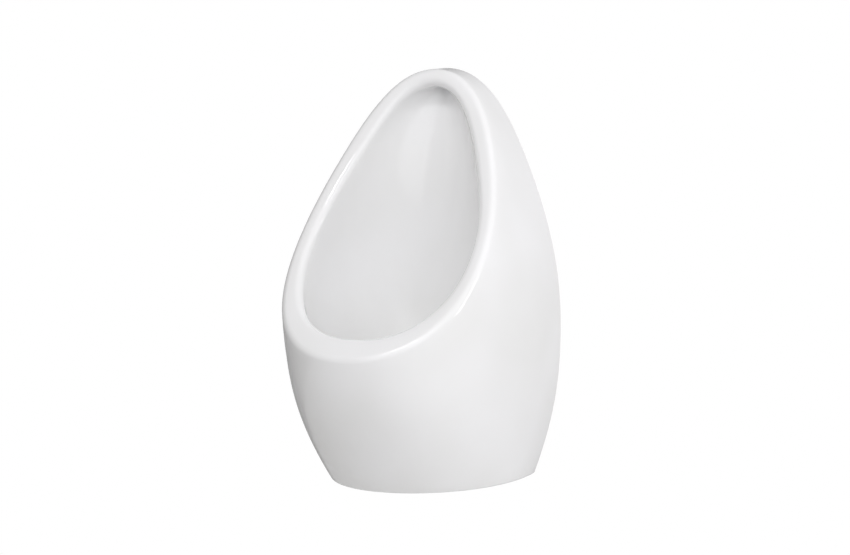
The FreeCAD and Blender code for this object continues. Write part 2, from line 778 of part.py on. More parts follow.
def flush_nozzle():
    """Plastic insert under the seal whose slot fans the water down the back of the bowl."""
    body = new_body("flush_nozzle")
    plug = size.nozzle_hole_radius - size.running_gap
    flange = size.inlet_radius - size.running_gap
    flange_top = INLET_FLOOR + size.nozzle_flange
    turn(
        body,
        [
            (0, CEILING),
            (plug, CEILING),
            (plug, INLET_FLOOR),
            (flange, INLET_FLOOR),
            (flange, flange_top),
            (0, flange_top),
        ],
    )
    sketch = new_sketch(body, "XY_Plane", flange_top)
    half = size.nozzle_slot_length / 2
    near = size.nozzle_slot_back
    far = size.nozzle_slot_back + size.nozzle_slot_width
    draw_outline(sketch, [(-half, near), (half, near), (half, far), (-half, far)])
    pocket(body, sketch, flange_top - CEILING + PAST)
    place(body, y=-size.inlet_depth)
    return body


# ---------------------------------------------------------------------------------------------
# Waste
# ---------------------------------------------------------------------------------------------


def waste_flange():
    """Chromed waste: a dish that holds the strainer, on a threaded tail."""
    top = DISH_FLOOR + size.dish_rim
    return turned_piece(
        "waste_flange",
        [
            (TAIL_BORE, FLANGE_UNDERSIDE - size.tail_length),
            (size.tail_radius, FLANGE_UNDERSIDE - size.tail_length),
            (size.tail_radius, FLANGE_UNDERSIDE),
            (WASTE_FLANGE_RADIUS, FLANGE_UNDERSIDE),
            (WASTE_FLANGE_RADIUS, top - size.dish_bevel),
            (WASTE_FLANGE_RADIUS - size.dish_bevel, top),
            (DISH_RADIUS, top),
            (DISH_RADIUS, DISH_FLOOR),
            (TAIL_BORE, DISH_FLOOR),
        ],
        y=-size.waste_depth,
    )


def waste_strainer():
    """Domed strainer that lies loose in the dish."""
    body = new_body("waste_strainer")
    outside = DISH_RADIUS - size.strainer_gap
    dome = outside - size.strainer_rim_width
    low = DISH_FLOOR
    high = DISH_FLOOR + size.strainer_thickness
    rise = size.strainer_rise
    curve = (dome * dome + rise * rise) / (rise * 2)
    turn(
        body,
        [
            (0, low + rise),
            (0, high + rise, curve, LEFT),
            (dome, high),
            (outside, high),
            (outside, low),
            (dome, low, curve, RIGHT),
        ],
    )
    rings = [
        (size.strainer_ring_one, STRAINER_HOLES_ONE),
        (size.strainer_ring_two, STRAINER_HOLES_TWO),
    ]
    for radius, count in rings:
        sketch = draw_circle(new_sketch(body, "XY_Plane"), radius, 0, size.strainer_hole_radius)
        hole = pocket(body, sketch, (high + rise) * 2, both_ways=True)
        repeat_round(body, hole, count)
    place(body, y=-size.waste_depth)
    return body


def waste_backnut():
    """Hexagonal nut that clamps the waste under the floor."""
    body = new_body("waste_backnut")
    flats = (size.tail_radius + size.backnut_wall) * 2
    pad(body, hexagon(new_sketch(body, "XY_Plane"), flats), size.backnut_height)
    bore = draw_circle(new_sketch(body, "XY_Plane"), 0, 0, size.tail_radius + size.nut_gap)
    pocket(body, bore, size.backnut_height * THROUGH, both_ways=True)
    place(body, y=-size.waste_depth, z=BACKNUT_UNDERSIDE)
    return body


# ---------------------------------------------------------------------------------------------
# Trap
# ---------------------------------------------------------------------------------------------


def trap_body():
    """Moulded bottle trap: chamber, dip tube, inlet socket and outlet arm."""
    body = new_body("trap_body")
    turn(
        body,
        [
            (0, size.dip_bottom),
            (size.dip_radius, size.dip_bottom),
            (size.dip_radius, size.chamber_bottom),
            (THREAD_RADIUS, size.chamber_bottom),
            (THREAD_RADIUS, size.chamber_bottom + size.thread_height),
            (size.chamber_radius, size.chamber_bottom + size.thread_height),
            (size.chamber_radius, CHAMBER_TOP),
            (SOCKET_RADIUS, CHAMBER_TOP),
            (SOCKET_RADIUS, SOCKET_TOP),
            (0, SOCKET_TOP),
        ],
    )
    arm = draw_circle(new_sketch(body, "XZ_Plane"), 0, size.arm_height, size.arm_radius)
    pad(body, arm, size.arm_length, backwards=True)
    socket = new_sketch(body, "XZ_Plane", -size.arm_length)
    draw_circle(socket, 0, size.arm_height, ARM_SOCKET_RADIUS)
    pad(body, socket, size.arm_socket_length, backwards=True)
    ceiling = CHAMBER_TOP - size.trap_wall
    groove(
        body,
        [
            (size.dip_radius, size.chamber_bottom),
            (CHAMBER_BORE, size.chamber_bottom),
            (CHAMBER_BORE, ceiling),
            (size.dip_radius, ceiling),
        ],
    )
    dip_bore = size.dip_radius - size.dip_wall
    ledge = CHAMBER_TOP + size.trap_wall
    groove(
        body,
        [
            (0, size.dip_bottom),
            (dip_bore, size.dip_bottom),
            (dip_bore, ledge),
            (SOCKET_BORE, ledge),
            (SOCKET_BORE, SOCKET_TOP),
            (0, SOCKET_TOP),
        ],
    )
    clear_of_dip = size.dip_radius + size.trap_wall
    bore = new_sketch(body, "XZ_Plane", -clear_of_dip)
    draw_circle(bore, 0, size.arm_height, size.arm_radius - size.arm_wall)
    pocket(body, bore, size.arm_length + size.trap_wall - clear_of_dip)
    pipe_bore = new_sketch(body, "XZ_Plane", -size.arm_length - size.trap_wall)
    draw_circle(pipe_bore, 0, size.arm_height, size.arm_radius + size.socket_gap)
    pocket(body, pipe_bore, size.arm_socket_length)
    place(body, y=-size.waste_depth)
    return body


def trap_cup():
    """The cup that holds the water seal and comes off downwards for cleaning."""
    flange_bottom = CUP_TOP - size.cup_flange
    edge = size.cup_edge_radius
    return turned_piece(
        "trap_cup",
        [
            (0, size.cup_bottom),
            (CUP_RADIUS - edge, size.cup_bottom, edge, RIGHT),
            (CUP_RADIUS, size.cup_bottom + edge),
            (CUP_RADIUS, flange_bottom),
            (CUP_FLANGE_RADIUS, flange_bottom),
            (CUP_FLANGE_RADIUS, CUP_TOP),
            (CUP_BORE, CUP_TOP),
            (CUP_BORE, size.cup_bottom + edge, edge - size.cup_wall, LEFT),
            (CUP_RADIUS - edge, size.cup_bottom + size.cup_wall),
            (0, size.cup_bottom + size.cup_wall),
        ],
        y=-size.waste_depth,
    )


def fluted(body, radius, height, count):
    """Cuts grip flutes down the outside of a turned ring or nut."""
    centre = radius + size.grip_radius - size.grip_bite
    flute = draw_circle(new_sketch(body, "XY_Plane"), centre, 0, size.grip_radius)
    cut = pocket(body, flute, height * THROUGH, both_ways=True)
    repeat_round(body, cut, count)


def trap_cup_ring():
    """Threaded ring that draws the cup's flange up against its seal."""
    body = new_body("trap_cup_ring")
    outside = RING_BORE + size.ring_wall
    turn(
        body,
        [
            (CUP_RADIUS + size.running_gap, 0),
            (outside, 0),
            (outside, size.ring_height),
            (RING_BORE, size.ring_height),
            (RING_BORE, size.ring_lip),
            (CUP_RADIUS + size.running_gap, size.ring_lip),
        ],
    )
    fluted(body, outside, size.ring_height, GRIPS_OF_RING)
    place(body, y=-size.waste_depth, z=RING_BOTTOM)
    return body


def union_nut(label, pipe, thread, wall):
    """A union nut standing on its open end: a skirt over the thread and a web that presses the seal."""
    body = new_body(label)
    bore = thread + size.nut_gap
    radius = bore + wall
    turn(
        body,
        [
            (bore, 0),
            (radius, 0),
            (radius, size.nut_skirt + size.nut_web),
            (pipe + size.nut_gap, size.nut_skirt + size.nut_web),
            (pipe + size.nut_gap, size.nut_skirt),
            (bore, size.nut_skirt),
        ],
    )
    fluted(body, radius, size.nut_skirt + size.nut_web, GRIPS_OF_NUT)
    return body


def trap_union_nut():
    body = union_nut("trap_union_nut", size.tail_radius, SOCKET_RADIUS, size.union_nut_wall)
    place(body, y=-size.waste_depth, z=SOCKET_TOP + size.cone_seal - size.nut_skirt)
    return body


def trap_outlet_nut():
    body = union_nut("trap_outlet_nut", size.arm_radius, ARM_SOCKET_RADIUS, size.outlet_nut_wall)
    place(body, y=size.cone_seal - ARM_END - size.nut_skirt, z=size.arm_height, rotation=TOWARDS_WALL)
    return body


def cone_seal(label, pipe, thread):
    """Tapered rubber ring, standing on its wide end."""
    taper = size.cone_seal / 2
    return turned_piece(
        label,
        [
            (pipe + size.running_gap, 0),
            (thread, 0),
            (thread, taper),
            (thread - taper, size.cone_seal),
            (pipe + size.running_gap, size.cone_seal),
        ],
    )


def trap_union_seal():
    seal = cone_seal("trap_union_seal", size.tail_radius, SOCKET_RADIUS)
    place(seal, y=-size.waste_depth, z=SOCKET_TOP)
    return seal


def trap_outlet_seal():
    seal = cone_seal("trap_outlet_seal", size.arm_radius, ARM_SOCKET_RADIUS)
    place(seal, y=-ARM_END, z=size.arm_height, rotation=TOWARDS_WALL)
    return seal


def trap_cup_seal():
    return ring(
        "trap_cup_seal", CUP_BORE, CUP_FLANGE_RADIUS, CUP_TOP, size.chamber_bottom, size.waste_depth
    )


def outlet_pipe():
    """Pipe from the trap's arm into the wall, with a bead that stops it at the wall face."""
    start = -ARM_END - size.pipe_insertion
    bore = size.arm_radius - size.pipe_wall
    bead = size.arm_radius + size.bead_height
    return turned_piece(
        "outlet_pipe",
        [
            (bore, start),
            (size.arm_radius, start),
            (size.arm_radius, -size.bead_width),
            (bead, -size.bead_width),
            (bead, 0),
            (size.arm_radius, 0),
            (size.arm_radius, size.pipe_beyond_wall),
            (bore, size.pipe_beyond_wall),
        ],
        z=size.arm_height,
        rotation=TOWARDS_WALL,
    )


def outlet_wall_seal():
    """Rubber sleeve whose collar goes round the pipe's bead and covers the gap at the wall."""
    bore = size.arm_radius + size.fit_gap
    sleeve = size.arm_radius + size.wall_seal_sleeve
    collar_bore = size.arm_radius + size.bead_height + size.running_gap
    collar = size.arm_radius + size.bead_height + size.wall_seal_collar
    return turned_piece(
        "outlet_wall_seal",
        [
            (bore, -size.wall_seal_length),
            (sleeve, -size.wall_seal_length),
            (sleeve, -size.bead_width),
            (collar, -size.bead_width),
            (collar, 0),
            (collar_bore, 0),
            (collar_bore, -size.bead_width),
            (bore, -size.bead_width),
        ],
        z=size.arm_height,
        rotation=TOWARDS_WALL,
    )


# ---------------------------------------------------------------------------------------------
# Hooks and wall fixings
# ---------------------------------------------------------------------------------------------


def hanger_bracket_right():
    """Pressed steel hook: a plate on the wall, a tongue that carries the china and a lip behind it."""
    body = new_body("hanger_bracket_right")
    steel = size.hook_steel
    foot = HOOK_TOP - size.hook_height
    reach = size.hook_reach
    bend = size.hook_bend
    around = bend + steel
    tip = HOOK_TOP + size.hook_lip
    profile = [
        (0, foot),
        (0, HOOK_TOP - around, around, LEFT),
        (-around, HOOK_TOP),
        (around - reach, HOOK_TOP, bend, RIGHT),
        (steel - reach, HOOK_TOP + bend),
        (steel - reach, tip),
        (-reach, tip),
        (-reach, HOOK_TOP + bend, around, LEFT),
        (around - reach, HOOK_TOP - steel),
        (-around, HOOK_TOP - steel, bend, RIGHT),
        (-steel, HOOK_TOP - around),
        (-steel, foot),
    ]
    pad(body, draw_outline(new_sketch(body, "YZ_Plane"), profile), size.hook_width, both_ways=True)
    screw_height = size.hanger_height - size.hanger_screw_drop
    hole = draw_circle(
        new_sketch(body, "XZ_Plane"), 0, screw_height, size.screw_radius + size.screw_gap
    )
    pocket(body, hole, steel * THROUGH, both_ways=True)
    place(body, x=size.hanger_spacing / 2)
    return body


def hanger_pads():
    """Soft pads between the hooks' tongues and the china."""
    pad_depth = POCKET_LIP - size.hook_steel
    right = box(
        "hanger_pad_right_one", size.hook_width, pad_depth, size.pad_thickness,
        size.hanger_spacing / 2, -size.hook_steel, HOOK_TOP,
    )
    return pair("hanger_pads", right)


def wall_screw(label, spacing, height, head_face):
    """A pair of hexagon head wood screws: head_face is the depth of the face under the head."""
    body = new_body(label + "_right_one")
    head = new_sketch(body, "XY_Plane", -head_face - size.screw_head)
    pad(body, hexagon(head, size.screw_flats), size.screw_head)
    turn(
        body,
        [
            (0, -head_face - size.screw_head / 2),
            (size.screw_radius, -head_face - size.screw_head / 2),
            (size.screw_radius, size.screw_beyond_wall - size.screw_point),
            (size.screw_tip_radius, size.screw_beyond_wall),
            (0, size.screw_beyond_wall),
        ],
    )
    place(body, x=spacing / 2, z=height, rotation=TOWARDS_WALL)
    return pair(label, body)


def wall_washer(label, spacing, height, face):
    """A pair of washers whose wall side lies at depth face."""
    bore = size.screw_radius + size.screw_gap
    right = turned_piece(
        label + "_right_one",
        [
            (bore, -face - size.washer_thickness),
            (size.washer_radius, -face - size.washer_thickness),
            (size.washer_radius, -face),
            (bore, -face),
        ],
        x=spacing / 2,
        z=height,
        rotation=TOWARDS_WALL,
    )
    return pair(label, right)


def wall_plug(label, spacing, height):
    """A pair of nylon plugs, round the screws and closed at the far end."""
    bore = size.screw_radius + size.fit_gap
    outer = bore + size.plug_wall
    bottom = size.screw_beyond_wall + size.running_gap
    end = bottom + size.plug_end
    right = turned_piece(
        label + "_right_one",
        [
            (bore, 0),
            (outer, 0),
            (outer, end),
            (0, end),
            (0, bottom),
            (bore, bottom),
        ],
        x=spacing / 2,
        z=height,
        rotation=TOWARDS_WALL,
    )
    return pair(label, right)


def lower_sleeves():
    """Nylon sleeves that keep the lower screws off the china."""
    bore = size.screw_radius + size.screw_gap
    inner_face = size.wall_flange_thickness
    outer = SLEEVE_HOLE_RADIUS - size.running_gap
    flange = SLEEVE_HOLE_RADIUS + size.sleeve_flange_width
    right = turned_piece(
        "lower_sleeves_right_one",
        [
            (bore, -inner_face - size.sleeve_flange),
            (flange, -inner_face - size.sleeve_flange),
            (flange, -inner_face),
            (outer, -inner_face),
            (outer, 0),
            (bore, 0),
        ],
        x=size.lower_spacing / 2,
        z=size.lower_fixing_height,
        rotation=TOWARDS_WALL,
    )
    return pair("lower_sleeves", right)


# ---------------------------------------------------------------------------------------------
# The assembly
# ---------------------------------------------------------------------------------------------

UPPER_SCREW_HEIGHT = size.hanger_height - size.hanger_screw_drop
SLEEVE_FACE = size.wall_flange_thickness + size.sleeve_flange

right_hook = hanger_bracket_right()
pieces = [
    ceramic_body(),
    inlet_seal(),
    flush_nozzle(),
    ring(
        "waste_upper_seal", size.tail_radius + size.running_gap,
        WASTE_FLANGE_RADIUS - size.waste_seal_inset, size.floor_height, FLANGE_UNDERSIDE,
        size.waste_depth,
    ),
    ring(
        "waste_lower_seal", size.tail_radius + size.running_gap, WASTE_FLANGE_RADIUS,
        BACKNUT_TOP, UNDERSIDE, size.waste_depth,
    ),
    waste_flange(),
    waste_strainer(),
    waste_backnut(),
    trap_union_nut(),
    trap_union_seal(),
    trap_body(),
    trap_cup(),
    trap_cup_seal(),
    trap_cup_ring(),
    trap_outlet_nut(),
    trap_outlet_seal(),
    outlet_pipe(),
    outlet_wall_seal(),
    right_hook,
    mirrored("hanger_bracket_left", right_hook),
    hanger_pads(),
    wall_washer("hanger_washers", size.hanger_spacing, UPPER_SCREW_HEIGHT, size.hook_steel),
    wall_screw(
        "hanger_screws", size.hanger_spacing, UPPER_SCREW_HEIGHT, size.hook_steel + size.washer_thickness
    ),
    wall_plug("hanger_plugs", size.hanger_spacing, UPPER_SCREW_HEIGHT),
    lower_sleeves(),
    wall_washer("lower_washers", size.lower_spacing, size.lower_fixing_height, SLEEVE_FACE),
    wall_screw(
        "lower_screws", size.lower_spacing, size.lower_fixing_height, SLEEVE_FACE + size.washer_thickness
    ),
    wall_plug("lower_plugs", size.lower_spacing, size.lower_fixing_height),
]

document.recompute()
failed = [item.Label for item in document.Objects if {"Invalid", "Error"} & set(item.State)]
if failed:
    raise RuntimeError(f"these objects failed: {failed}")
bad = [piece.Label for piece in pieces if piece.Shape.isNull() or not piece.Shape.isValid()]
if bad:
    raise RuntimeError(f"these sub-parts have no valid shape: {bad}")

os.makedirs("parts", exist_ok=True)
for piece in pieces:
    piece.Shape.exportStep(f"parts/{piece.Label}.step")
    extent = piece.Shape.BoundBox
    print(
        f"{piece.Label}: {len(piece.Shape.Solids)} solid(s), {piece.Shape.Volume / 1000:.2f} cm3, "
        f"x {extent.XMin:.1f}..{extent.XMax:.1f} y {extent.YMin:.1f}..{extent.YMax:.1f} "
        f"z {extent.ZMin:.1f}..{extent.ZMax:.1f}"
    )
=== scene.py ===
# %% [markdown]
# # A wall hung urinal in glazed vitreous china
#
# The shape of every rigid piece comes from the CAD model, which loads here as a fixed frame.
# Blender's share is what the eye sees: the glaze, the fired clay that the glaze leaves bare, the
# metal and plastic of the fittings, the light and the camera.

# %% Load the frame
import bpy
import bmesh
import json
import math
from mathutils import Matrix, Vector


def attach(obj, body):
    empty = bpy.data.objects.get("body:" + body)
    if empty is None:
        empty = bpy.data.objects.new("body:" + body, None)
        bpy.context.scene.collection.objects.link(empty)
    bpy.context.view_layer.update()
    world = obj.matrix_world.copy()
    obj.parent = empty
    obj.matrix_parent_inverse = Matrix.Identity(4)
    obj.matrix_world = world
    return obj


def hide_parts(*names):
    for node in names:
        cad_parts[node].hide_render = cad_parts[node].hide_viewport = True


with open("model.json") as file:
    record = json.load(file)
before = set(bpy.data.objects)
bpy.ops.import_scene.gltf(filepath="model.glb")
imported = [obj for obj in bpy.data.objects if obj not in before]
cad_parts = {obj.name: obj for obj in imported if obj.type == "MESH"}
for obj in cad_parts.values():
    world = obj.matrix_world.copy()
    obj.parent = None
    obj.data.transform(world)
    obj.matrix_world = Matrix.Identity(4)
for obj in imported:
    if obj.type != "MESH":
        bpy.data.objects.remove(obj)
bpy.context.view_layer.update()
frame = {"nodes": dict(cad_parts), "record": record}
nodes = frame["nodes"]

# %% [markdown]
# ## Small helpers
#
# Paint charts and photographs give colours as sRGB hex values, but a shader works in linear light,
# so one function turns the first into the second. Another adds a node to a tree with its settings,
# links and colour stops in one call. That keeps each material short enough to read as a recipe.

# %% Colour and node helpers
MM = 0.001
# most of a noise lies between these values, so a tone that follows it is spread over them
GRAIN_LOW, GRAIN_HIGH = 0.3, 0.7
DRIFT_LOW, DRIFT_HIGH = 0.35, 0.65


def colour(hex_value):
    """A linear colour with alpha from an sRGB hex value such as 'F4F4F2'."""
    parts = [int(hex_value[i : i + 2], 16) / 255 for i in (0, 2, 4)]
    linear = [p / 12.92 if p <= 0.04045 else ((p + 0.055) / 1.055) ** 2.4 for p in parts]
    return (*linear, 1.0)


def add(tree, kind, settings=None, inputs=None, stops=()):
    """Adds a node. An input is a plain value, or (node, output name) for a link.

    Stops are the two ends of a colour ramp, each a position and a hex colour.
    """
    node = tree.nodes.new(kind)
    for name, value in (settings or {}).items():
        setattr(node, name, value)
    for name, value in (inputs or {}).items():
        if isinstance(value, tuple) and isinstance(value[0], bpy.types.Node):
            tree.links.new(value[0].outputs[value[1]], node.inputs[name])
        else:
            node.inputs[name].default_value = value
    for index, (position, hex_value) in enumerate(stops):
        node.color_ramp.elements[index].position = position
        node.color_ramp.elements[index].color = colour(hex_value)
    return node


def new_material(name):
    """An empty material and its node tree."""
    material = bpy.data.materials.new(name)
    material.use_nodes = True
    material.node_tree.nodes.clear()
    return material, material.node_tree


print("white glaze in linear light:", [round(c, 3) for c in colour("F4F4F2")])

# %% [markdown]
# ## The glaze
#
# Sanitary china is fired with a thick opaque white glaze. It is glass, so it reflects like glass,
# with an IOR near 1.5 and almost no roughness. It also flows a little in the kiln, so reflections
# in it are never quite straight: a slow wave of some 45 mm, and a faint orange peel of some 4 mm.
# Both are bumps here, because they are far too shallow to model. The white drifts slightly too.

# %% Glazed vitreous china
GLAZE_WAVE = 45 * MM
GLAZE_WAVE_DEPTH = 0.6 * MM
GLAZE_PEEL = 4 * MM
GLAZE_PEEL_DEPTH = 0.05 * MM
GLAZE_DRIFT = 160 * MM


def glazed_vitreous_china():
    """China under an opaque white glaze: the eye sees deep white with sharp highlights."""
    material, tree = new_material("glazed_vitreous_china")
    place = add(tree, "ShaderNodeTexCoord")
    drift = add(
        tree, "ShaderNodeTexNoise",
        inputs={"Vector": (place, "Object"), "Scale": 1 / GLAZE_DRIFT, "Detail": 1.0},
    )
    white = add(
        tree, "ShaderNodeValToRGB", inputs={"Fac": (drift, "Fac")},
        stops=[(DRIFT_LOW, "F1F1F0"), (DRIFT_HIGH, "F6F6F6")],
    )
    wave = add(
        tree, "ShaderNodeTexNoise",
        inputs={"Vector": (place, "Object"), "Scale": 1 / GLAZE_WAVE, "Detail": 0.0},
    )
    peel = add(
        tree, "ShaderNodeTexNoise",
        inputs={"Vector": (place, "Object"), "Scale": 1 / GLAZE_PEEL, "Detail": 1.0},
    )
    slow = add(
        tree, "ShaderNodeBump",
        inputs={"Height": (wave, "Fac"), "Strength": 0.35, "Distance": GLAZE_WAVE_DEPTH},
    )
    fine = add(
        tree, "ShaderNodeBump",
        inputs={
            "Height": (peel, "Fac"), "Strength": 0.12, "Distance": GLAZE_PEEL_DEPTH,
            "Normal": (slow, "Normal"),
        },
    )
    shader = add(
        tree, "ShaderNodeBsdfPrincipled",
        inputs={
            "Base Color": (white, "Color"), "Roughness": 0.09, "IOR": 1.5,
            "Normal": (fine, "Normal"),
        },
    )
    add(tree, "ShaderNodeOutputMaterial", inputs={"Surface": (shader, "BSDF")})
    return material


glaze = glazed_vitreous_china()
print("made", glaze.name)

# %% [markdown]
# ## The bare clay
#
# The piece stands on its base in the kiln and is ground flat where it meets the wall, so there the
# fired clay is bare. The spray gun doesn't reach the space behind the bowl either. Fired clay is
# matt and slightly warm, with the grain of the plaster mould and a few darker specks in it.

# %% Bare fired clay
CLAY_GRAIN = 1.6 * MM  # real grain is finer; this is as coarse as it needs to be to show
CLAY_GRAIN_DEPTH = 0.15 * MM
CLAY_CLOUD = 70 * MM
SPECK_START, SPECK_FULL = 0.66, 0.74  # only the peaks of the grain are dark


def bare_fired_clay():
    """Unglazed vitreous body: the eye sees a dry, slightly warm white with fine specks."""
    material, tree = new_material("bare_fired_clay")
    place = add(tree, "ShaderNodeTexCoord")
    cloud = add(
        tree, "ShaderNodeTexNoise",
        inputs={"Vector": (place, "Object"), "Scale": 1 / CLAY_CLOUD, "Detail": 3.0},
    )
    tone = add(
        tree, "ShaderNodeValToRGB", inputs={"Fac": (cloud, "Fac")},
        stops=[(GRAIN_LOW, "D9D2C6"), (GRAIN_HIGH, "E6E1D8")],
    )
    grain = add(
        tree, "ShaderNodeTexNoise",
        inputs={"Vector": (place, "Object"), "Scale": 1 / CLAY_GRAIN, "Detail": 4.0},
    )
    specks = add(
        tree, "ShaderNodeValToRGB", inputs={"Fac": (grain, "Fac")},
        stops=[(SPECK_START, "FFFFFF"), (SPECK_FULL, "B7AA98")],
    )
    mixed = add(
        tree, "ShaderNodeMixRGB", {"blend_type": "MULTIPLY"},
        {"Fac": 0.7, "Color1": (tone, "Color"), "Color2": (specks, "Color")},
    )
    bump = add(
        tree, "ShaderNodeBump",
        inputs={"Height": (grain, "Fac"), "Strength": 0.5, "Distance": CLAY_GRAIN_DEPTH},
    )
    shader = add(
        tree, "ShaderNodeBsdfPrincipled",
        inputs={"Base Color": (mixed, "Color"), "Roughness": 0.82, "Normal": (bump, "Normal")},
    )
    add(tree, "ShaderNodeOutputMaterial", inputs={"Surface": (shader, "BSDF")})
    return material


clay = bare_fired_clay()
print("made", clay.name)

# %% [markdown]
# ## The shell
#
# The CAD mesh is loose triangles with a hard edge round each. A mirror-like glaze would show every
# one of them, so the shell is a copy whose triangles are welded and shaded smooth, with hard edges
# only where the real one has them. Flooding out from the foremost face, on the front of the lip,
# as far as the first hard edge finds what the glaze covers. The rest and the foot are bare clay.

# %% Weld the shell and glaze what shows
HARD_EDGE = math.radians(32)
WELD = 0.002 * MM
KILN_FOOT = 0.3 * MM  # the base is bare up to this height
LOOKS_DOWN = -0.9  # the upward part of a face's normal, below which it looks down
GLAZED_SLOT, BARE_SLOT = 0, 1


def welded_copy(node_name, piece_name):
    """A copy of a CAD node with its triangles welded and shaded smooth between hard edges."""
    piece = bpy.data.objects.new(piece_name, nodes[node_name].data.copy())
    bpy.context.scene.collection.objects.link(piece)
    mesh = bmesh.new()
    mesh.from_mesh(piece.data)
    bmesh.ops.remove_doubles(mesh, verts=mesh.verts, dist=WELD)
    for face in mesh.faces:
        face.smooth = True
    for edge in mesh.edges:
        edge.smooth = len(edge.link_faces) == 2 and edge.calc_face_angle(0) < HARD_EDGE
    return piece, mesh


def flood(start):
    """All faces that can be reached from a face without crossing a hard edge."""
    reached, waiting = {start}, [start]
    while waiting:
        for edge in waiting.pop().edges:
            if edge.smooth:
                for face in edge.link_faces:
                    if face not in reached:
                        reached.add(face)
                        waiting.append(face)
    return reached


shell, mesh = welded_copy("ceramic_body", "china_shell")
front_face = min(mesh.faces, key=lambda face: face.calc_center_median().y)
glazed = flood(front_face)
for face in mesh.faces:
    on_foot = face.calc_center_median().z < KILN_FOOT and face.normal.z < LOOKS_DOWN
    face.material_index = GLAZED_SLOT if face in glazed and not on_foot else BARE_SLOT
bare = sum(face.material_index == BARE_SLOT for face in mesh.faces)
print("shell faces:", len(mesh.faces), "bare:", bare, "verts:", len(mesh.verts))
mesh.to_mesh(shell.data)
mesh.free()
shell.data.materials.clear()
shell.data.materials.append(glaze)
shell.data.materials.append(clay)
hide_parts("ceramic_body")
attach(shell, "shell")

# %% [markdown]
# ## The fittings' materials
#
# The waste and its strainer are polished and chromed, which is a metal with a very smooth face.
# The backnut is turned brass. The trap and the outlet pipe are moulded polypropylene: a soft sheen,
# a faintly waxy depth and a fine spark-eroded grain from the mould. Plugs, sleeves and the flush
# nozzle are grey nylon. The seals and the hanger pads are black rubber, which is matt.

# %% Metals
LATHE_LINE = 0.5 * MM  # turning lines are finer; this is as coarse as it needs to be to show
METAL_GRAIN_DEPTH = 0.05 * MM
EVEN = (1, 1, 1)
TURNED = (0.15, 0.15, 1)  # the grain is drawn out sideways, so it circles an upright axis


def metal(name, tones, roughness, grain, strength, stretch=EVEN):
    """A metal whose tone and roughness follow one grain. Tones and roughness are low and high."""
    material, tree = new_material(name)
    place = add(tree, "ShaderNodeTexCoord")
    turned = add(
        tree, "ShaderNodeMapping", inputs={"Vector": (place, "Object"), "Scale": stretch}
    )
    lines = add(
        tree, "ShaderNodeTexNoise",
        inputs={"Vector": (turned, "Vector"), "Scale": 1 / grain, "Detail": 3.0},
    )
    tone = add(
        tree, "ShaderNodeValToRGB", inputs={"Fac": (lines, "Fac")},
        stops=[(GRAIN_LOW, tones[0]), (GRAIN_HIGH, tones[1])],
    )
    rough = add(
        tree, "ShaderNodeMapRange",
        inputs={
            "Value": (lines, "Fac"), "From Min": GRAIN_LOW, "From Max": GRAIN_HIGH,
            "To Min": roughness[0], "To Max": roughness[1],
        },
    )
    bump = add(
        tree, "ShaderNodeBump",
        inputs={"Height": (lines, "Fac"), "Strength": strength, "Distance": METAL_GRAIN_DEPTH},
    )
    shader = add(
        tree, "ShaderNodeBsdfPrincipled",
        inputs={
            "Base Color": (tone, "Color"), "Metallic": 1.0,
            "Roughness": (rough, "Result"), "Normal": (bump, "Normal"),
        },
    )
    add(tree, "ShaderNodeOutputMaterial", inputs={"Surface": (shader, "BSDF")})
    return material


# a cold mirror, with only a trace of the polishing left in it
polished_chrome = metal(
    "polished_chrome_plate", ("C9CCCF", "D6D8DA"), (0.05, 0.1), grain=20 * MM, strength=0.05
)
# a warm yellow with rings of fine lathe lines that break up the highlight
turned_brass = metal(
    "turned_brass", ("B9974F", "CDAE68"), (0.22, 0.38), grain=LATHE_LINE, strength=0.35,
    stretch=TURNED,
)
# a bluish silver that is bright but not a mirror, for the screws and washers
zinc_plate = metal(
    "bright_zinc_plated_steel", ("A9AFB4", "C3C8CC"), (0.24, 0.4), grain=3 * MM, strength=0.2
)
# a duller grey with slow clouds, as on hot-dipped sheet, for the hanger brackets
galvanised = metal(
    "galvanised_pressed_steel", ("969CA1", "B9BEC2"), (0.3, 0.5), grain=9 * MM, strength=0.15
)
print("made", [m.name for m in (polished_chrome, turned_brass, zinc_plate, galvanised)])

# %% Plastics and rubber
MOULD_GRAIN = 0.8 * MM  # spark-eroded grain is finer; this is as coarse as it needs to be to show
RUBBER_GRAIN = 0.6 * MM
MOULD_GRAIN_DEPTH = 0.08 * MM
TONE_DRIFT = 40 * MM
WAX_DEPTH = 1.5 * MM  # how far light wanders below the skin of the polypropylene


def moulded(name, tones, roughness, strength, ior, grain=MOULD_GRAIN, waxiness=0.0):
    """A moulded plastic or rubber with the grain of its mould and a slight drift of tone."""
    material, tree = new_material(name)
    place = add(tree, "ShaderNodeTexCoord")
    drift = add(
        tree, "ShaderNodeTexNoise",
        inputs={"Vector": (place, "Object"), "Scale": 1 / TONE_DRIFT, "Detail": 2.0},
    )
    tone = add(
        tree, "ShaderNodeValToRGB", inputs={"Fac": (drift, "Fac")},
        stops=[(DRIFT_LOW, tones[0]), (DRIFT_HIGH, tones[1])],
    )
    skin = add(
        tree, "ShaderNodeTexNoise",
        inputs={"Vector": (place, "Object"), "Scale": 1 / grain, "Detail": 2.0},
    )
    bump = add(
        tree, "ShaderNodeBump",
        inputs={"Height": (skin, "Fac"), "Strength": strength, "Distance": MOULD_GRAIN_DEPTH},
    )
    shader = add(
        tree, "ShaderNodeBsdfPrincipled",
        inputs={
            "Base Color": (tone, "Color"), "Roughness": roughness, "IOR": ior,
            "Subsurface Weight": waxiness, "Subsurface Radius": (1.0, 1.0, 1.0),
            "Subsurface Scale": WAX_DEPTH, "Normal": (bump, "Normal"),
        },
    )
    add(tree, "ShaderNodeOutputMaterial", inputs={"Surface": (shader, "BSDF")})
    return material


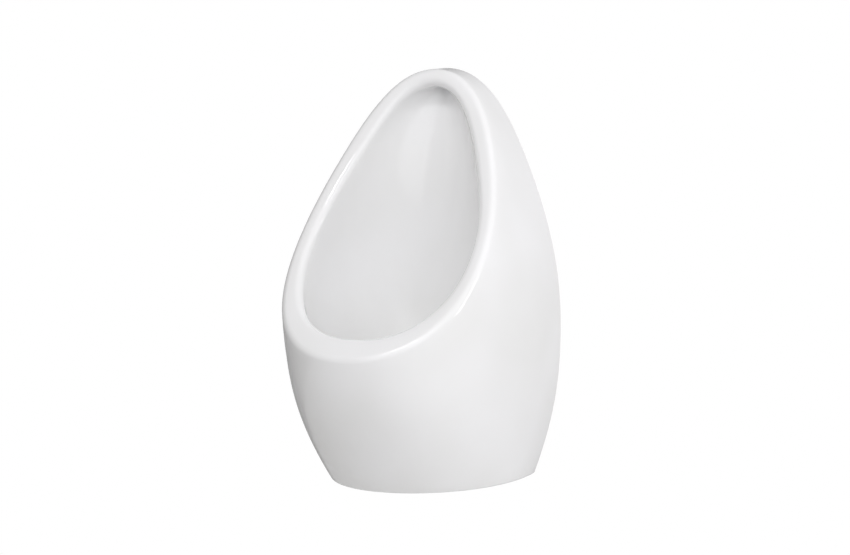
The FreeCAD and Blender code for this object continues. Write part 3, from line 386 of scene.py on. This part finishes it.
# a milky white with a broad soft sheen, warmer and duller than the china beside it
polypropylene = moulded(
    "moulded_white_polypropylene", ("E2E2DE", "EAEAE7"), roughness=0.34, strength=0.25, ior=1.49,
    waxiness=0.15,
)
# a plain mid grey, half matt, for the plugs, the sleeves and the flush nozzle
nylon = moulded(
    "moulded_grey_nylon", ("8C9094", "989CA0"), roughness=0.45, strength=0.3, ior=1.53
)
# near black and matt, so each seal reads as a dark line between two pale pieces
rubber = moulded(
    "moulded_black_rubber", ("1B1B1C", "262627"), roughness=0.62, strength=0.45, ior=1.52,
    grain=RUBBER_GRAIN,
)
print("made", [m.name for m in (polypropylene, nylon, rubber)])

# %% Give each CAD node its material
FINISH_OF_SLOT = {
    "china": glaze,
    "chrome": polished_chrome,
    "brass": turned_brass,
    "white_plastic": polypropylene,
    "nylon": nylon,
    "rubber": rubber,
    "pressed_steel": galvanised,
    "zinc_steel": zinc_plate,
}
for part in frame["record"]["subparts"]:
    node = nodes[part["node"]]
    for index in range(len(node.data.materials)):
        node.data.materials[index] = FINISH_OF_SLOT[part["material_slot"]]

# %% [markdown]
# ## Floor, light and background
#
# The object hangs on a wall, with its base some half a metre above the floor. The photograph is a
# plain studio shot: white all round, with most of its light from large soft sources at the right
# and in front, so the left flank turns grey. The world gives the camera pure white but lights the
# object less than that, and least from the left, which leaves room for the lamps to shape it.

# %% Middle of the object, and directions from it
MIDDLE = Vector((0, -0.15, 0.30))  # what the lamps face, and the camera but for a small shift


def direction(azimuth, elevation):
    """A unit vector in degrees. Azimuth 0 is straight in front of the object, 90 to the right."""
    a, e = math.radians(azimuth), math.radians(elevation)
    return Vector((math.sin(a) * math.cos(e), -math.cos(a) * math.cos(e), math.sin(e)))


print("middle:", [round(value, 3) for value in MIDDLE])

# %% Floor
FLOOR_BELOW = 0.53
FLOOR_RADIUS = 1.6
FLOOR_CORNERS = 128


def pale_floor():
    """A round, pale, matt floor under the object."""
    material, tree = new_material("pale_studio_floor")
    shader = add(
        tree, "ShaderNodeBsdfPrincipled",
        inputs={"Base Color": colour("F2F2F1"), "Roughness": 0.7},
    )
    add(tree, "ShaderNodeOutputMaterial", inputs={"Surface": (shader, "BSDF")})
    mesh = bmesh.new()
    bmesh.ops.create_circle(mesh, cap_ends=True, segments=FLOOR_CORNERS, radius=FLOOR_RADIUS)
    bmesh.ops.translate(mesh, vec=Vector((0, MIDDLE.y, -FLOOR_BELOW)), verts=mesh.verts)
    data = bpy.data.meshes.new("studio_floor")
    mesh.to_mesh(data)
    mesh.free()
    data.materials.append(material)
    floor = bpy.data.objects.new("studio_floor", data)
    bpy.context.scene.collection.objects.link(floor)


pale_floor()
print("floor at", -FLOOR_BELOW)

# %% World
WORLD_BRIGHTEST = 100  # azimuth: to the right, and a little behind
WORLD_DIM = 0.18
WORLD_BRIGHT = 0.66


def white_world():
    """White to the camera. To the object it is a room that is brighter on the right."""
    world = bpy.data.worlds.new("white_studio")
    world.use_nodes = True
    world.node_tree.nodes.clear()
    tree = world.node_tree
    place = add(tree, "ShaderNodeTexCoord")
    side = add(
        tree, "ShaderNodeVectorMath", {"operation": "DOT_PRODUCT"},
        {0: (place, "Generated"), 1: direction(WORLD_BRIGHTEST, 0)},
    )
    level = add(
        tree, "ShaderNodeMapRange",
        inputs={
            "Value": (side, "Value"), "From Min": -1.0, "From Max": 1.0,
            "To Min": WORLD_DIM, "To Max": WORLD_BRIGHT,
        },
    )
    path = add(tree, "ShaderNodeLightPath")
    shown = add(tree, "ShaderNodeBackground", inputs={"Color": colour("FFFFFF"), "Strength": 1.0})
    lights = add(
        tree, "ShaderNodeBackground",
        inputs={"Color": colour("FBFAFB"), "Strength": (level, "Result")},
    )
    both = add(
        tree, "ShaderNodeMixShader",
        inputs={0: (path, "Is Camera Ray"), 1: (lights, "Background"), 2: (shown, "Background")},
    )
    add(tree, "ShaderNodeOutputWorld", inputs={"Surface": (both, "Shader")})
    bpy.context.scene.world = world


white_world()
bpy.context.scene.view_settings.view_transform = "Standard"
print("world from", WORLD_DIM, "on the left to", WORLD_BRIGHT, "on the right")

# %% [markdown]
# The large softboxes are so wide that the glaze shows them as a faint veil and not as a patch. The
# two narrow strips are what draws the thin bright lines along the rim: one stands to the right and
# lights the edge of the right lip and of the left rim, and one is above and in front, for the line
# along the front lip. Each stands where a mirror at that place of the rim would show it.

# %% Soft lights
# name, azimuth, elevation, distance, width, height, power, tint
SOFT_LIGHTS = [
    ("high_right_softbox", 60, 42, 3.0, 3.4, 3.4, 19, "FCFCFF"),
    ("front_softbox", 20, 24, 3.0, 3.4, 2.6, 27, "FDFDFF"),
    ("left_softbox", -60, 30, 3.0, 2.6, 2.6, 8, "FFFCF8"),
    ("right_strip", 97, 11, 2.8, 0.24, 1.4, 12, "FDFDFF"),
    ("front_strip", 4, 52, 2.8, 1.1, 0.22, 12, "FDFDFF"),
]


def soft_light(name, azimuth, elevation, distance, width, height, power, tint):
    """A rectangular lamp that faces the middle of the object."""
    away = direction(azimuth, elevation)
    data = bpy.data.lights.new(name, "AREA")
    data.shape = "RECTANGLE"
    data.size = width
    data.size_y = height
    data.energy = power
    data.color = colour(tint)[:3]
    lamp = bpy.data.objects.new(name, data)
    lamp.location = MIDDLE + away * distance
    lamp.rotation_mode = "QUATERNION"
    lamp.rotation_quaternion = (-away).to_track_quat("-Z", "Y")
    bpy.context.scene.collection.objects.link(lamp)


for settings in SOFT_LIGHTS:
    soft_light(*settings)
print("lights:", [settings[0] for settings in SOFT_LIGHTS])

# %% [markdown]
# ## The camera
#
# The photograph was taken from 26 degrees to the object's right and a little above, from some four
# metres with a long lens. Its place was found by matching the outline. The camera aims a little to
# the right of the object's middle, because the photograph has the object left of its centre.

# %% Camera
CAMERA_AZIMUTH = 26
CAMERA_ELEVATION = 6.5
CAMERA_DISTANCE = 4.17
SENSOR_WIDTH = 36  # mm, as Blender counts lenses
PHOTO_WIDTH = 850  # pixels
FOCAL_LENGTH = 2873  # pixels
AIM_RIGHT = 30.5 * MM
AIM_UP = 1.9 * MM


def photo_camera():
    """The camera that took the photograph, as near as the outline gives it."""
    back = direction(CAMERA_AZIMUTH, CAMERA_ELEVATION)
    right = direction(CAMERA_AZIMUTH + 90, 0)
    up = back.cross(right)
    data = bpy.data.cameras.new("photo_camera")
    data.sensor_width = SENSOR_WIDTH
    data.lens = SENSOR_WIDTH * FOCAL_LENGTH / PHOTO_WIDTH
    camera = bpy.data.objects.new("photo_camera", data)
    camera.location = MIDDLE + back * CAMERA_DISTANCE
    aim = MIDDLE + right * AIM_RIGHT + up * AIM_UP
    camera.rotation_mode = "QUATERNION"
    camera.rotation_quaternion = (aim - camera.location).to_track_quat("-Z", "Y")
    bpy.context.scene.collection.objects.link(camera)
    bpy.context.scene.camera = camera
    return camera


camera = photo_camera()
print("lens:", round(camera.data.lens, 1), "mm")
